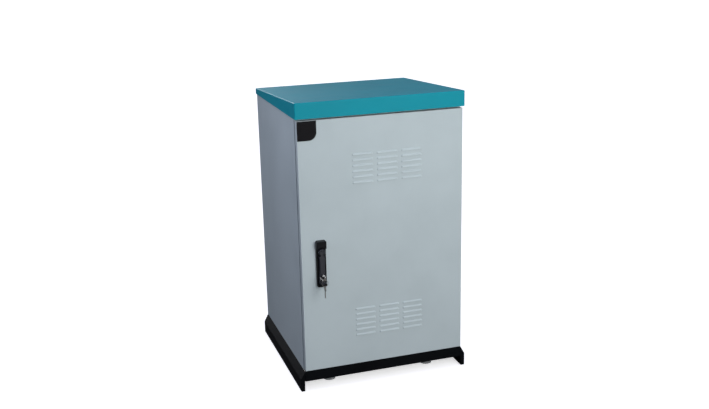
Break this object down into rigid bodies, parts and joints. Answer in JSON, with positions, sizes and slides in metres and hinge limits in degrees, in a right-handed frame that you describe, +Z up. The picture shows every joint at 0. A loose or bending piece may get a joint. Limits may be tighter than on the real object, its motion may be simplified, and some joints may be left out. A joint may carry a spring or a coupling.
{
  "type": "utility cabinet",
  "caption": "Free-standing sheet-metal utility cabinet with a hinged louvred door, swing handle with rod latch, sloped teal hat and a black skid base.",
  "frame": {"origin": "on the ground, at the centre of the four anchor holes in the skid rails, which is the middle of the body's width and depth", "axes": "+X to the right along the front, -Y out of the door, +Z up"},
  "size_m": [0.632, 0.633, 1.0378],
  "materials": {
    "grey_paint": "satin polyester powder coat",
    "teal_paint": "satin polyester powder coat",
    "black_paint": "satin powder coat",
    "zinc_steel": "zinc plated",
    "black_die_cast": "fine texture powder coat on die cast zinc",
    "lever_satin": "satin powder coat on die cast zinc",
    "lock_chrome": "polished",
    "key_nickel": "nickel plated",
    "gasket_foam": "closed cell foam",
    "filter_fleece": "fleece mat",
    "guide_plastic": "moulded",
    "earth_brass": "bright",
    "badge_black": "gloss",
    "foot_nylon": "moulded pad"
  },
  "bodies": {
    "cabinet": {"left_skid_rail": "black_paint", "right_skid_rail": "black_paint", "front_bar": "black_paint", "rear_bar": "black_paint", "base_bolts": "zinc_steel", "base_nuts": "zinc_steel", "levelling_feet": "foot_nylon", "levelling_studs": "zinc_steel", "levelling_nuts": "zinc_steel", "floor_pan": "grey_paint", "gland_plate": "zinc_steel", "gland_plate_screws": "zinc_steel", "roof_pan": "grey_paint", "left_side_panel": "grey_paint", "right_side_panel": "grey_paint", "back_panel": "grey_paint", "back_panel_screws": "zinc_steel", "door_frame": "grey_paint", "hat": "teal_paint", "hat_posts": "zinc_steel", "hat_bolts": "zinc_steel", "left_front_post": "zinc_steel", "right_front_post": "zinc_steel", "left_rear_post": "zinc_steel", "right_rear_post": "zinc_steel", "left_lower_depth_rail": "zinc_steel", "right_lower_depth_rail": "zinc_steel", "left_upper_depth_rail": "zinc_steel", "right_upper_depth_rail": "zinc_steel", "earth_bar": "earth_brass", "earth_bar_spacers": "guide_plastic", "upper_hinge_leaf": "zinc_steel", "lower_hinge_leaf": "zinc_steel"},
    "door": {"door_leaf": "grey_paint", "door_gasket": "gasket_foam", "badge_plate": "badge_black", "left_door_stiffener": "zinc_steel", "right_door_stiffener": "zinc_steel", "upper_filter_mat": "filter_fleece", "lower_filter_mat": "filter_fleece", "upper_filter_frame": "zinc_steel", "lower_filter_frame": "zinc_steel", "filter_nuts": "zinc_steel", "upper_hinge_knuckle": "zinc_steel", "lower_hinge_knuckle": "zinc_steel", "upper_hinge_pin": "zinc_steel", "lower_hinge_pin": "zinc_steel", "handle_escutcheon": "black_die_cast", "rod_guides": "guide_plastic"},
    "hub": {"handle_hub": "lever_satin", "lever_pin": "zinc_steel", "latch_driver": "zinc_steel", "driver_nut": "zinc_steel"},
    "lever": {"handle_lever": "lever_satin"},
    "lock": {"lock_plug": "lock_chrome", "key": "key_nickel"},
    "key_ring_set": {"key_ring": "key_nickel", "spare_key": "key_nickel"},
    "upper_rod": {"upper_latch_rod": "zinc_steel"},
    "lower_rod": {"lower_latch_rod": "zinc_steel"}
  },
  "joints": [
    {"name": "door_swing", "type": "hinge", "parent": "cabinet", "child": "door", "pos_m": [0.291, -0.274, 0.5275], "axis": [0, 0, 1], "range_deg": [0, 110]},
    {"name": "handle_turn", "type": "hinge", "parent": "door", "child": "hub", "pos_m": [-0.23, -0.296, 0.52], "axis": [0, -1, 0], "range_deg": [0, 90]},
    {"name": "lever_lift", "type": "hinge", "parent": "hub", "child": "lever", "pos_m": [-0.23, -0.303, 0.52], "axis": [-1, 0, 0], "range_deg": [0, 55]},
    {"name": "key_turn", "type": "hinge", "parent": "lever", "child": "lock", "pos_m": [-0.23, -0.3095, 0.4295], "axis": [0, -1, 0], "range_deg": [0, 90]},
    {"name": "key_ring_swing", "type": "hinge", "parent": "lock", "child": "key_ring_set", "pos_m": [-0.23, -0.331, 0.4277], "axis": [-1, 0, 0], "range_deg": [-10, 60]},
    {"name": "upper_rod_slide", "type": "slide", "parent": "door", "child": "upper_rod", "axis": [0, 0, -1], "range_m": [0, 0.0283]},
    {"name": "lower_rod_slide", "type": "slide", "parent": "door", "child": "lower_rod", "axis": [0, 0, 1], "range_m": [0, 0.0283]}
  ],
  "couplings": [
    {"joint": "upper_rod_slide", "follows": "handle_turn", "m_per_rad": 0.018},
    {"joint": "lower_rod_slide", "follows": "handle_turn", "m_per_rad": 0.018}
  ]
}
